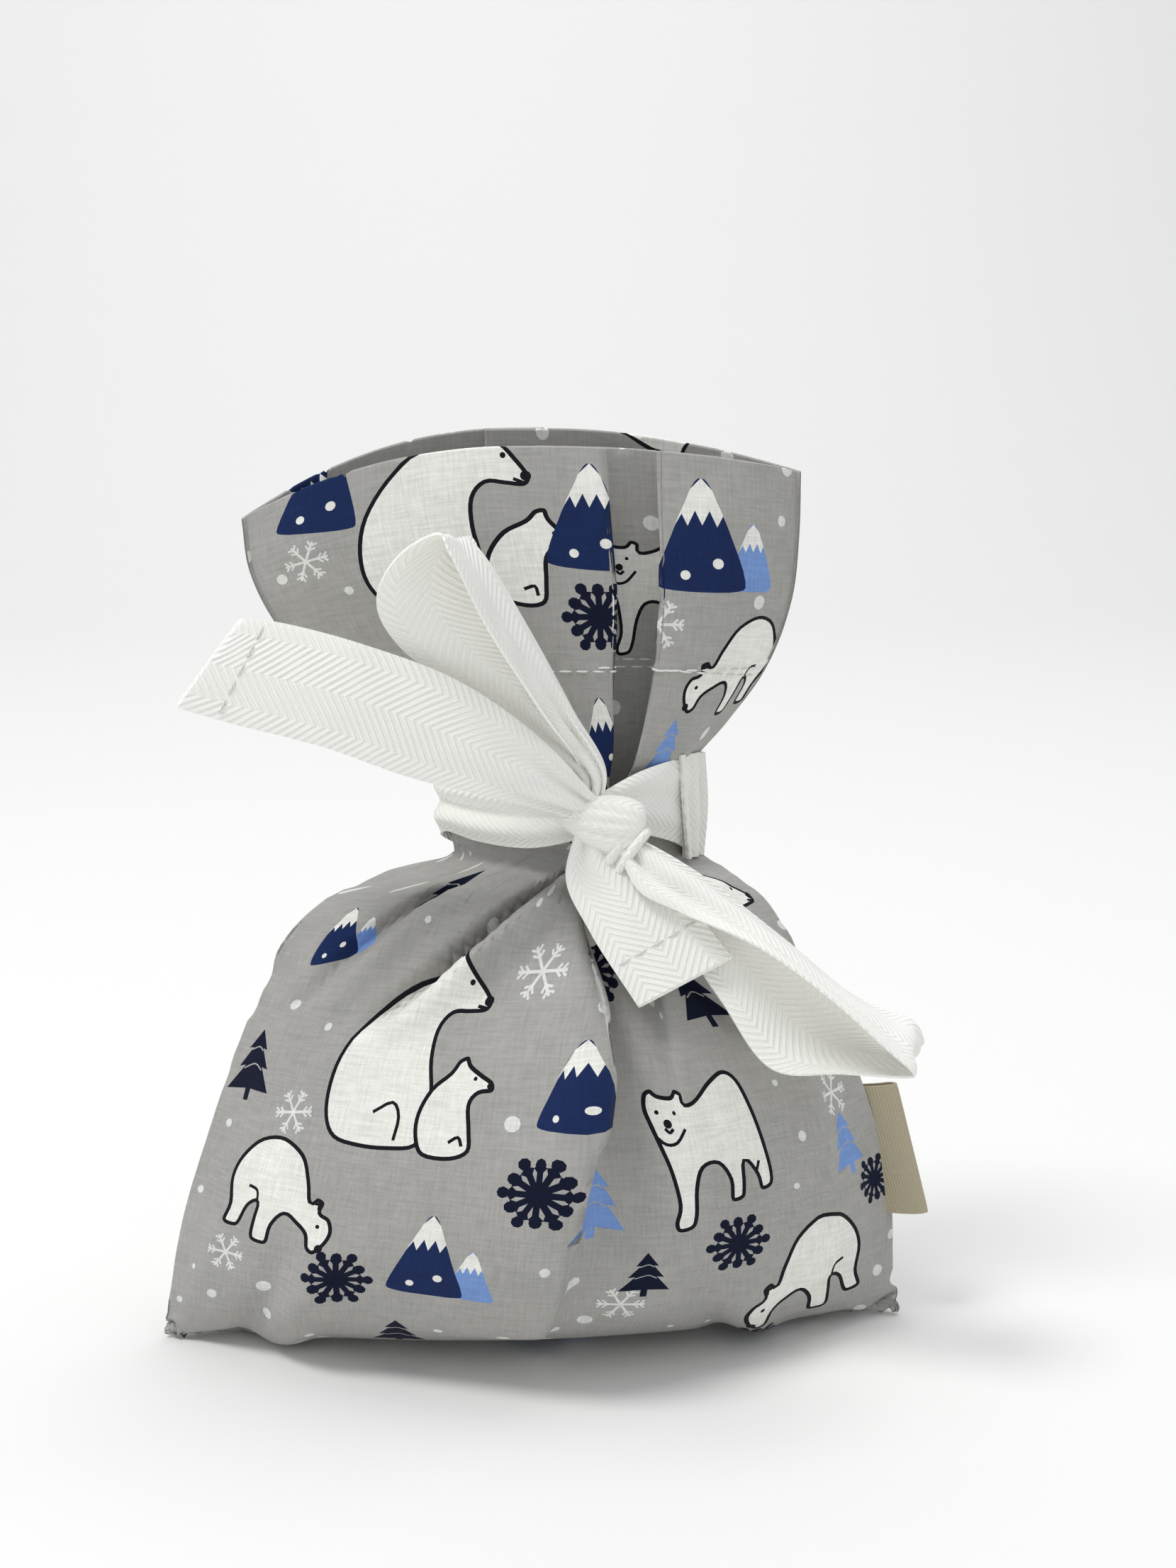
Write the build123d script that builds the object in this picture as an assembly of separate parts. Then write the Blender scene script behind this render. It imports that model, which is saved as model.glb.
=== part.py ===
"""Cotton gift pouch, filled out and tied round the neck with a tape bow.

Millimetres. X runs along the side-to-side width, the front faces -Y, Z is up.
The origin is the middle of the base. Both side seams lie in the plane y = 0,
and each cut cloth panel is a half shell on one side of that plane.
"""
import os
from math import cos, radians, sin

from build123d import *

# ---- driving dimensions ------------------------------------------------------
CLOTH = 0.9                 # a cloth panel's thickness as a stand-in shell
FACING = 0.5                # the turned-in hem's thickness
FACING_ROOM = 0.1           # room between the hem and the collar it is sewn to

TAPE_WIDTH = 15.0
TAPE = 0.9                  # the tape's thickness as a stand-in strip

NECK_X = 6.0                # the neck stands right of the base's middle
NECK_WIDTH = 18.3           # half of the gathered neck's width
NECK_DEPTH = 8.5            # half of its depth
NECK_TOP = 87.0             # where the tied neck ends and the bend begins
COLLAR_BOTTOM = 92.0        # where the free collar begins
COLLAR_TOP = 135.0
HEM_LINE = 101.5            # height of the row of stitches that holds the hem
HEM_SWEEP = 1.2             # radians each way from the middle that its stitches cover

# Heights of the filled body: (z, middle in x, half width, half depth)
BODY = [
    (0.0, 0.0, 52.0, 20.0),
    (6.0, 0.3, 57.0, 25.0),
    (18.0, 0.6, 55.0, 28.0),
    (34.0, 1.0, 50.5, 27.5),
    (51.0, 1.5, 43.0, 24.0),
    (62.0, 1.8, 36.5, 18.5),
    (69.0, 2.6, 30.5, 14.0),
    (75.0, 5.0, 21.5, 10.0),
    (80.0, NECK_X, NECK_WIDTH, NECK_DEPTH),
    (NECK_TOP, NECK_X, NECK_WIDTH, NECK_DEPTH),
]
# Heights of the flared collar, the same four values
COLLAR = [
    (COLLAR_BOTTOM, 5.5, 19.5, 8.5),
    (98.0, 4.0, 27.0, 9.0),
    (107.0, 3.4, 33.5, 9.5),
    (116.0, 1.2, 38.0, 10.5),
    (126.0, -0.8, 41.0, 11.0),
    (COLLAR_TOP, -1.0, 40.0, 11.0),
]

SEAM_WIDTH = 4.5            # allowance turned inside along each side seam
SEAM_THICK = 0.6
SEAM_ROOM = 1.7             # how far inside the sharp edge the allowance ends
SEAM_START = 6.0            # height where the side seams leave the flat base
BOTTOM_SEAM = (90.0, 7.0)   # the bottom allowance, which lies flat on the base

KNOT = (8.7, -14.4, 82.0)   # middle of the bow's knot
KNOT_SIZE = (13.0, 7.0, 8.5)
KNOT_LEAN = 28.0            # degrees the knot leans down to the right
WRAP_SIZE = (3.4, 6.4, 7.6)
ROOT_WIDTH = 6.0            # the tape is bunched this narrow where it leaves the knot
SPREAD = 13.0               # and is flat and full width this far out

STITCH = 2.6                # pitch of the sewing thread's stitches
THREAD = 0.35

# The bow's four free parts, each from where it leaves the knot to its far end,
# with the direction that lies across the tape
UPPER_LOOP = ((5.2, -14.2, 88.6), (-13.5, -25.0, 122.5))
RIGHT_LOOP = ((18.8, -18.6, 75.4), (52.5, -30.0, 52.5))
LEFT_TAIL = ((-0.6, -19.2, 86.2), (-46.0, -23.0, 105.0))
SHORT_TAIL = ((7.4, -17.2, 74.4), (15.0, -24.4, 59.6))
UPPER_ACROSS = (0.72, -0.62, 0.33)
RIGHT_ACROSS = (0.5, 0.0, 0.82)
LEFT_ACROSS = (0.38, 0.0, 0.92)
SHORT_ACROSS = (0.86, 0.0, 0.5)
UPPER_BULGE = 11.0          # how far apart the two sides of each loop stand
RIGHT_BULGE = 8.0
LEFT_HEM = 6.5              # how much of each tail's end is folded back
SHORT_HEM = 8.5
HEM_STITCH_IN = 1.0         # the hem's stitches run that far from its cut edge
STITCH_MARGIN = 1.5         # and stop short of the tape's edges

ANCHOR_SIZE = (6.0, 12.0, 12.5)     # the fold of tape caught in the right side seam
ANCHOR_DROP = 8.5           # its middle below the top of the neck
ANCHOR_ROW = (1.6, -5.4)    # its stitches: in from the neck's side, and y
ANCHOR_HEIGHTS = (79.0, 85.0)

LABEL_OUT = 7.5
LABEL_TALL = 20.5
LABEL_LOW = 17.5            # height of the label's lower edge
LABEL_THICK = 0.9
LABEL_ROOM = 1.4            # room between the label and the bulging side seam


# ---- helpers -----------------------------------------------------------------
def section_at(rows, z):
    """Middle, half width and half depth of the cloth at height z."""
    for low, high in zip(rows, rows[1:]):
        if low[0] <= z <= high[0]:
            part = (z - low[0]) / (high[0] - low[0])
            return [a + part * (b - a) for a, b in zip(low[1:], high[1:])]
    raise ValueError(z)


def crescent(row, inset, thick, side):
    """The cut through one half shell: side is -1 in front and 1 at the back."""
    z, middle, width, depth = row
    w1, d1 = width - inset, depth - inset
    w2, d2 = w1 - thick, d1 - thick
    outer = ThreePointArc((middle - w1, 0), (middle, side * d1), (middle + w1, 0))
    end = Line((middle + w1, 0), (middle + w2, 0))
    inner = ThreePointArc((middle + w2, 0), (middle, side * d2), (middle - w2, 0))
    start = Line((middle - w2, 0), (middle - w1, 0))
    return Plane.XY.offset(z) * make_face([outer, end, inner, start])


def half_shell(rows, side, inset=0.0, thick=CLOTH):
    return loft([crescent(row, inset, thick, side) for row in rows])


def half_base(side):
    """The flat patch of a panel that the filled pouch stands on."""
    z, middle, width, depth = BODY[0]
    edge = ThreePointArc((middle - width, 0), (middle, side * depth), (middle + width, 0))
    close = Line((middle + width, 0), (middle - width, 0))
    return extrude(make_face([edge, close]), amount=CLOTH, dir=(0, 0, 1))


def seam_strip(rows, side):
    """The allowance turned inside along one side seam: side is -1 left, 1 right."""
    cuts = []
    for z, middle, width, _ in rows:
        x = middle + side * (width - CLOTH - SEAM_ROOM - SEAM_WIDTH / 2)
        cuts.append(Plane.XY.offset(z) * Location((x, 0)) * Rectangle(SEAM_WIDTH, SEAM_THICK))
    return loft(cuts, ruled=True)


def frame_along(start, end, across):
    """A plane with its x along start to end and its y near the direction across."""
    along = (Vector(*end) - Vector(*start)).normalized()
    normal = along.cross(Vector(*across)).normalized()
    return Plane(origin=start, x_dir=along, z_dir=normal)


def strip(start, end, across, root=TAPE_WIDTH, behind=0.0):
    """A straight length of tape from start to end, as wide as root at its start.

    behind moves it that far off the straight line, towards the pouch.
    """
    length = (Vector(*end) - Vector(*start)).length
    flat = frame_along(start, end, across)
    lift = behind if flat.z_dir.Y > 0 else -behind
    return flat * Location((0, 0, lift)) * extrude(spread(length, root), amount=TAPE / 2, both=True)


def spread(length, root):
    """The flat outline of a length of tape that widens from root to its full width."""
    full = TAPE_WIDTH / 2
    wide = min(SPREAD, 0.6 * length)
    upper = [(0, root / 2), (wide, full), (length, full)]
    lower = [(x, -y) for x, y in reversed(upper)]
    return make_face(Polyline(*upper, *lower, close=True))


def loop_of_tape(start, end, across, bulge):
    """A closed loop of tape, pinched at start and rounded at end."""
    length = (Vector(*end) - Vector(*start)).length
    side = frame_along(start, end, across)
    profile = Plane(origin=start, x_dir=side.x_dir, z_dir=side.y_dir)

    def outline(shrink):
        tip = length - shrink
        half = bulge / 2 - shrink
        pinch = shrink + 0.6
        upper = Spline((pinch, TAPE + 0.2 - shrink), (0.45 * tip, 0.8 * half), (tip - half, half))
        lower = Spline((pinch, shrink - TAPE - 0.2), (0.45 * tip, -0.8 * half), (tip - half, -half))
        cap = ThreePointArc((tip - half, half), (tip, 0), (tip - half, -half))
        close = Line((pinch, TAPE + 0.2 - shrink), (pinch, shrink - TAPE - 0.2))
        return make_face([upper, cap, lower, close])

    ring = extrude(profile * (outline(0) - outline(TAPE)), amount=TAPE_WIDTH / 2, both=True)
    return ring & side * extrude(spread(length, ROOT_WIDTH), amount=bulge, both=True)


def row_of_stitches(rows, z, side, sweep):
    """Stitches round one half of the cloth at height z, sweep radians each way."""
    middle, width, depth = section_at(rows, z)
    count = int(2 * sweep * width / STITCH)
    made = []
    for i in range(count):
        angle = sweep * (2 * (i + 0.5) / count - 1)
        x = middle + width * sin(angle)
        y = side * depth * (1 - (x - middle) ** 2 / width ** 2)
        slope = -2 * side * depth * (x - middle) / width ** 2
        heading = Vector(1, slope, 0)
        spot = Plane(origin=(x, y + side * THREAD, z), x_dir=heading, z_dir=(0, 0, 1))
        made.append(spot * Box(0.7 * STITCH, THREAD, THREAD))
    return Compound(children=made)


def row_across(start, end, count):
    """Stitches in a straight line from start to end."""
    a, b = Vector(*start), Vector(*end)
    step = (b - a) / count
    made = []
    for i in range(count):
        spot = Plane(origin=a + step * (i + 0.5), x_dir=step, z_dir=(0, 1, 0.1))
        made.append(spot * Box(0.7 * step.length, THREAD, THREAD))
    return Compound(children=made)


# ---- the cloth ---------------------------------------------------------------
def pouch_cloth():
    seam_rows = [row for row in BODY if row[0] >= SEAM_START]
    bottom = Location((0, 0, CLOTH + SEAM_THICK / 2)) * Box(*BOTTOM_SEAM, SEAM_THICK)
    return {
        "front_panel": half_shell(BODY, -1) + half_base(-1),
        "back_panel": half_shell(BODY, 1) + half_base(1),
        "left_side_seam": seam_strip(seam_rows, -1),
        "right_side_seam": seam_strip(seam_rows, 1),
        "bottom_seam": bottom,
    }


def collar_cloth():
    hem = [row for row in COLLAR if row[0] > HEM_LINE]
    hem.insert(0, (HEM_LINE - 1, *section_at(COLLAR, HEM_LINE - 1)))
    inset = CLOTH + FACING_ROOM
    low = COLLAR[:3]
    return {
        "front_collar": half_shell(COLLAR, -1),
        "back_collar": half_shell(COLLAR, 1),
        "front_hem_facing": half_shell(hem, -1, inset, FACING),
        "back_hem_facing": half_shell(hem, 1, inset, FACING),
        "left_collar_seam": seam_strip(low, -1),
        "right_collar_seam": seam_strip(low, 1),
        "front_hem_stitches": row_of_stitches(COLLAR, HEM_LINE, -1, HEM_SWEEP),
        "back_hem_stitches": row_of_stitches(COLLAR, HEM_LINE, 1, HEM_SWEEP),
    }


# ---- the tape and its bow ----------------------------------------------------
def neck_rows(out):
    """Heights of the tape round the neck, that far out from the cloth."""
    low = NECK_TOP - TAPE_WIDTH + 1.0
    heights = (low, 75.0, 80.0, NECK_TOP)
    rows = [(z, *section_at(BODY, z)) for z in heights]
    return [(z, middle, width + out, depth + out) for z, middle, width, depth in rows]


def neck_band():
    """The tape round the outside of the gathered neck."""
    rows = neck_rows(TAPE)
    return half_shell(rows, -1, 0, TAPE) + half_shell(rows, 1, 0, TAPE)


def seam_anchor():
    """The fold of tape caught in the right side seam, standing on the band."""
    fold = half_shell(neck_rows(2 * TAPE + 0.1), -1, 0, TAPE)
    reach = NECK_X + NECK_WIDTH
    return fold & Location((reach, 0, NECK_TOP - ANCHOR_DROP)) * Box(*ANCHOR_SIZE)


def rounded_block(size, lean, place, radius):
    block = fillet(Box(*size).edges(), radius)
    return Location(place, (0, lean, 0)) * block


def bow_root():
    x, y, z = KNOT
    lean = radians(KNOT_LEAN)
    reach = (KNOT_SIZE[0] + WRAP_SIZE[0]) / 2
    second = (x + reach * cos(lean), y + 0.3, z - reach * sin(lean))
    stitch_x, stitch_y = NECK_X + NECK_WIDTH - ANCHOR_ROW[0], ANCHOR_ROW[1]
    low, high = ANCHOR_HEIGHTS
    return {
        "neck_tape": neck_band(),
        "bow_knot": rounded_block(KNOT_SIZE, KNOT_LEAN, KNOT, 2.8),
        "knot_wrap": rounded_block(WRAP_SIZE, KNOT_LEAN, second, 1.3),
        "seam_anchor": seam_anchor(),
        "anchor_stitches": row_across((stitch_x, stitch_y, low), (stitch_x, stitch_y, high), 3),
    }


def along(pair, distance):
    """The point that far from the end of a tail, back along it."""
    a, b = Vector(*pair[0]), Vector(*pair[1])
    return tuple(b + (a - b).normalized() * distance)


def tail(name, pair, across, hem):
    """A free end of the tape with its end folded back behind it and stitched down."""
    proud = Vector(0, -(TAPE + THREAD) / 2 - 0.1, 0)
    middle = Vector(*along(pair, hem - HEM_STITCH_IN)) + proud
    half = Vector(*across).normalized() * (TAPE_WIDTH / 2 - STITCH_MARGIN)
    return {
        name: strip(*pair, across, ROOT_WIDTH),
        f"{name}_hem": strip(along(pair, hem), pair[1], across, behind=TAPE),
        f"{name}_stitches": row_across(middle - half, middle + half, 5),
    }


def bow_parts():
    return {
        "upper_loop": loop_of_tape(*UPPER_LOOP, UPPER_ACROSS, UPPER_BULGE),
        "right_loop": loop_of_tape(*RIGHT_LOOP, RIGHT_ACROSS, RIGHT_BULGE),
        **tail("left_tail", LEFT_TAIL, LEFT_ACROSS, LEFT_HEM),
        **tail("short_tail", SHORT_TAIL, SHORT_ACROSS, SHORT_HEM),
    }


# ---- the label ---------------------------------------------------------------
def label():
    """A folded woven label that sticks out of the right side seam."""
    corners = []
    for z in (LABEL_LOW, LABEL_LOW + LABEL_TALL):
        middle, width, _ = section_at(BODY, z)
        corners.append((middle + width + LABEL_ROOM, z))
    (x1, z1), (x2, z2) = corners
    outline = Polyline((x1, z1), (x1 + LABEL_OUT, z1), (x2 + LABEL_OUT, z2), (x2, z2), close=True)
    return extrude(Plane.XZ * make_face(outline), amount=LABEL_THICK / 2, both=True)


# ---- write -------------------------------------------------------------------
PIECES = {**pouch_cloth(), **bow_root(), **collar_cloth(), **bow_parts(), "label": label()}

os.makedirs("parts", exist_ok=True)
for name, shape in PIECES.items():
    export_step(shape, f"parts/{name}.step")
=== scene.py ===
"""The looks of the gift pouch: printed cotton, a herringbone tape bow and a plain label.

Lengths in this script are millimetres until a mesh is made, which is in metres.
"""
import math

import bpy
import numpy as np
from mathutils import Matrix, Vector
from mathutils.geometry import delaunay_2d_cdt


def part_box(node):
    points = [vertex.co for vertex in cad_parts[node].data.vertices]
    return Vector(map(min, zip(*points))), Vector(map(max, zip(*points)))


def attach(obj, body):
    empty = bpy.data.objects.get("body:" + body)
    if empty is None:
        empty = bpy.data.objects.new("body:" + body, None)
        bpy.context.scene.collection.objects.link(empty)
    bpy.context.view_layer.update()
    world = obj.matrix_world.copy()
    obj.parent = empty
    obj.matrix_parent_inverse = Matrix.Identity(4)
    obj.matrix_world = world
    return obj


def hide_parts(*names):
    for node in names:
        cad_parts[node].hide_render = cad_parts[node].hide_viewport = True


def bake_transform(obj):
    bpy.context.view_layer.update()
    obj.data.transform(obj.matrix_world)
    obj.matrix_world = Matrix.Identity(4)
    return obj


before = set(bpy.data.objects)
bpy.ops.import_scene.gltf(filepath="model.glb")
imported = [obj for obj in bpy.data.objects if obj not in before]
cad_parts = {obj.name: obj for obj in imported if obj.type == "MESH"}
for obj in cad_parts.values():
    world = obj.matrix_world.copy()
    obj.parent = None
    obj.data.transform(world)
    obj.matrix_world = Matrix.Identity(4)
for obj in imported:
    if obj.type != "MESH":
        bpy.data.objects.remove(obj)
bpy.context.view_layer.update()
MM = 0.001


# ---- sizes taken from the frame ----------------------------------------------
def node_box(name):
    """A CAD node's lowest and highest corners, in millimetres."""
    low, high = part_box(name)
    return np.array(low) / MM, np.array(high) / MM


tie_low, tie_high = node_box("neck_tape")

FLAT_WIDTH = 125.0
FLAT_HEIGHT = 172.0
HEM_DEPTH = 33.0
CLOTH_THICK = 0.35
TAPE_WIDTH = 15.0
TAPE_THICK = 0.55


# ---- curves and small helpers -------------------------------------------------
def run_of(points):
    """How far along its length each point of a line lies."""
    return np.concatenate([[0], np.cumsum(np.linalg.norm(np.diff(points, axis=0), axis=1))])


def unit(vectors):
    return vectors / (np.linalg.norm(vectors, axis=-1, keepdims=True) + 1e-9)


def show(name, mesh):
    """The mesh as an object of the scene, smoothly shaded."""
    mesh.polygons.foreach_set("use_smooth", [True] * len(mesh.polygons))
    thing = bpy.data.objects.new(name, mesh)
    bpy.context.scene.collection.objects.link(thing)
    return thing


def lay_flat(mesh, flat):
    """Keep each corner's place on the flat cloth, in metres, in a UV layer."""
    corners = np.zeros(len(mesh.loops), int)
    mesh.loops.foreach_get("vertex_index", corners)
    layer = mesh.uv_layers.new(name="flat")
    layer.data.foreach_set("uv", (flat[corners % len(flat)] * MM).astype(np.float32).ravel())


def through(points, count):
    """A smooth centripetal curve through points, at count places, as an array."""
    p = np.array(points, float)
    step = np.linalg.norm(np.diff(p[:, :3], axis=0), axis=1) ** 0.5
    knots = np.concatenate([[0], np.cumsum(np.maximum(step, 1e-6))])
    return hermite(knots, p, np.linspace(0, knots[-1], count))


def hermite(knots, p, at):
    """Cubic Hermite through p at knots, evaluated at the values at."""
    slope = np.zeros_like(p)
    h = np.diff(knots)[:, None]
    d = np.diff(p, axis=0) / h
    slope[1:-1] = (h[1:] * d[:-1] + h[:-1] * d[1:]) / (h[1:] + h[:-1])
    slope[0], slope[-1] = d[0], d[-1]
    i = np.clip(np.searchsorted(knots, at, side="right") - 1, 0, len(knots) - 2)
    h = (knots[i + 1] - knots[i])[:, None]
    t = ((at - knots[i]) / (knots[i + 1] - knots[i]))[:, None]
    return ((2 * t**3 - 3 * t**2 + 1) * p[i] + (t**3 - 2 * t**2 + t) * h * slope[i]
            + (-2 * t**3 + 3 * t**2) * p[i + 1] + (t**3 - t**2) * h * slope[i + 1])


def by_length(curve, fractions):
    """Points of a dense curve at fractions of its length."""
    run = run_of(curve)
    return np.stack([np.interp(fractions * run[-1], run, curve[:, k]) for k in range(3)], axis=1)


# ---- the shape of the pouch --------------------------------------------------
# Each row: cloth height v, height z, middle x, half width, front depth, back depth,
# pleat strength, roll strength, how far the left and right seams lie in front
ROWS = [
    (0, 1, 0.3, 57, 0, 0, 0, 0, 0, 0),
    (10, 1, 0.3, 57.5, 4.5, 12, 0.02, 0, 0, 0),
    (19, 4.8, 0.3, 57.6, 16, 19.5, 0.03, 0, 0, 0),
    (28, 11.3, 0.5, 56.6, 24.5, 25, 0.06, 0, 0, 0),
    (39.5, 20.5, 1.2, 55, 28.6, 28, 0.10, 0, 0, 0),
    (56, 35, 1.8, 51, 29, 28, 0.16, 0, 2, 2),
    (74, 51.3, 1.2, 45, 25.5, 25, 0.24, 0, 5, 5),
    (83, 59, 0.6, 40.8, 22, 21.5, 0.34, 0, 7, 7),
    (89.5, 64.6, 0, 38.8, 18.6, 18.2, 0.45, 0.2, 8, 8),
    (97, 70.4, 0.2, 34, 14.8, 14.4, 0.6, 0.4, 8, 7),
    (102.5, 73.8, 1, 28.6, 12.4, 12, 0.75, 0.4, 6.5, 5),
    (108, 76.8, 3.6, 21.4, 10, 9.8, 0.9, 0.2, 3.5, 2.5),
    (113.5, 80, 6, 17.6, 8.2, 8.2, 1, 0, 0, 0.5),
    (121, 87, 6, 17.6, 8.2, 8.2, 1, 0, 0, 0),
    (129, 94, 4.6, 24.5, 8.4, 8.4, 1, 0, 0, 0),
    (137, 101.5, 2.6, 31.6, 9, 9, 1, 0, 0, 0),
    (150, 113.8, 0.9, 37.8, 9.8, 9.5, 1, 0, 0, 0),
    (162, 125.2, -0.6, 40.4, 10, 9, 1, 0, 0, 0),
    (172, 134.8, -1, 40.9, 9.5, 8, 1, 0, 0, 0),
]
# Places across the front from the left seam to the right one, as part of the half
# width, for smooth cloth and for cloth folded into the pleat, and the pleat's depths
SMOOTH_X = [-1, -0.96, -0.76, -0.52, -0.30, -0.10, 0.06, 0.11, 0.17, 0.24, 0.32, 0.54, 0.78, 0.96, 1]
PLEAT_X = [-1, -0.96, -0.78, -0.50, -0.20, 0.08, 0.29, 0.03, 0.36, 0.68, 0.44, 0.62, 0.82, 0.965, 1]
PLEAT_Y = [0, 0.10, 0.55, 0.88, 1.02, 1.06, 1.00, 0.60, 0.28, 0.55, 1.0, 0.95, 0.66, 0.10, 0]
BACK_X = [-1, -0.96, -0.74, -0.46, -0.18, 0.10, -0.14, 0.20, 0.46, 0.74, 0.96, 1]
BACK_Y = [0, 0.10, 0.60, 0.92, 1.05, 1.0, 0.55, 0.75, 0.98, 0.66, 0.10, 0]
BACK_SMOOTH = [-1, -0.96, -0.74, -0.50, -0.28, -0.08, 0.06, 0.22, 0.48, 0.74, 0.96, 1]
TIP_DROP = (10.4, 3.8)      # how far the collar's left and right tips hang below its middle
BACK_RISE = 2.6             # how far the back's top edge stands above the front's
ROLL_IN, ROLL_OUT = 2.6, 3.4    # depths of the rolled fold's valley and of its ridge
FLARE_LOW = 129.0           # cloth height where the collar starts to flare


def section(row, front):
    """The places that the cloth passes across one panel at one height."""
    v, z, middle, width, near, far, pleat, roll, left, right = row
    smooth, folded, depths = (SMOOTH_X, PLEAT_X, PLEAT_Y) if front else (BACK_SMOOTH, BACK_X, BACK_Y)
    depth = near if front else far
    out = -1 if front else 1
    places = []
    for k, (a, b, fold) in enumerate(zip(smooth, folded, depths)):
        t = a + pleat * (b - a)
        bulge = (1 - a * a) ** 0.9
        y = depth * (bulge + pleat * (fold - bulge))
        if front and k == 4:
            y += ROLL_IN * roll
        if front and k == 3:
            y -= ROLL_OUT * roll
        share = max(0.0, 1 - (1 - abs(t)) / 0.5)
        shift = (left if t < 0 else right) * share
        lift = max(0.0, (v - FLARE_LOW) / (FLAT_HEIGHT - FLARE_LOW))
        drop = TIP_DROP[0] if t < 0 else TIP_DROP[1]
        low = lift * drop * abs(t) ** 2.2 - (0.0 if front else BACK_RISE * lift * (1 - t * t))
        places.append((middle + width * t, out * y - shift, z - low))
    return places


def grid(front, across, up):
    """The panel's start shape: an array of up x across points."""
    nets = np.array([section(row, front) for row in ROWS])
    heights = np.array([row[0] for row in ROWS])
    levels = np.linspace(0, FLAT_HEIGHT, up)
    columns = np.stack([hermite(heights, nets[:, k], levels) for k in range(nets.shape[1])], axis=1)
    fractions = np.linspace(0, 1, across)
    return np.stack([by_length(through(row, 400), fractions) for row in columns])


ACROSS, UP = 82, 109
front_start = grid(True, ACROSS, UP)
back_start = grid(False, ACROSS, UP)


# ---- the cloth, settled by simulation ----------------------------------------
SIM_SCALE = 10.0            # the simulation is steadier on cloth the size of a shirt
SIM_FRAMES = 24
PINNED_ABOVE = 112.0        # the cloth from the neck up keeps its start shape
FILL_LOW, FILL_TOP = 3.0, 64.0      # heights between which the contents press outwards
FILL_ROUND, FILL_REACH = 50.0, 15.0     # they round off above this height, over this length


def grid_index():
    """Vertex numbers of the front and the back panel, which share the seams."""
    front = np.arange(UP * ACROSS).reshape(UP, ACROSS)
    back = np.full((UP, ACROSS), -1)
    back[:, 0], back[:, -1], back[0] = front[:, 0], front[:, -1], front[0]
    fresh = back < 0
    back[fresh] = front.size + np.arange(fresh.sum())
    return front, back


def quads(index, flip):
    """Faces of a grid of vertex numbers."""
    faces = np.stack([index[:-1, :-1], index[:-1, 1:], index[1:, 1:], index[1:, :-1]], axis=-1)
    faces = faces.reshape(-1, 4)
    return (faces[:, ::-1] if flip else faces).tolist()


def collider(name, points, faces, thick):
    mesh = bpy.data.meshes.new(name)
    mesh.from_pydata([tuple(p) for p in np.asarray(points) * MM * SIM_SCALE], [], faces)
    thing = bpy.data.objects.new(name, mesh)
    bpy.context.scene.collection.objects.link(thing)
    thing.modifiers.new("collision", "COLLISION")
    thing.collision.thickness_outer = thick
    thing.collision.thickness_inner = 0.02
    thing.collision.cloth_friction = 8
    return thing


def filling():
    """The pouch's contents: a smooth closed shape inside the body."""
    rings, around, inset = [], 48, 0.8
    rows = [row for row in ROWS if 0.3 < row[1] < 66][1:]
    heights = [row[1] for row in rows]
    for z in np.linspace(FILL_LOW, FILL_TOP, 22):
        sizes = [np.interp(z, heights, [row[k] for row in rows]) for k in (2, 3, 4, 5)]
        middle, width, near, far = sizes
        past = max(0.0, z - FILL_ROUND) / FILL_REACH
        top = math.sqrt(max(0.02, 1 - past ** 2))
        ring = []
        for k in range(around):
            turn = 2 * math.pi * k / around
            x = math.cos(turn)
            side = math.copysign(1, math.sin(turn))
            depth = (near if side < 0 else far) - inset
            reach = (width - 3.5) * top
            ring.append((middle + reach * x, side * depth * top * (1 - x * x) ** 0.8, z))
        rings.append(ring)
    points = [p for ring in rings for p in ring]
    faces = []
    for i in range(len(rings) - 1):
        for k in range(around):
            n = (k + 1) % around
            faces.append((i * around + k, i * around + n, (i + 1) * around + n, (i + 1) * around + k))
    faces.append(tuple(range(around))[::-1])
    faces.append(tuple(range((len(rings) - 1) * around, len(rings) * around)))
    return collider("filling", points, faces, 0.006)


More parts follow.
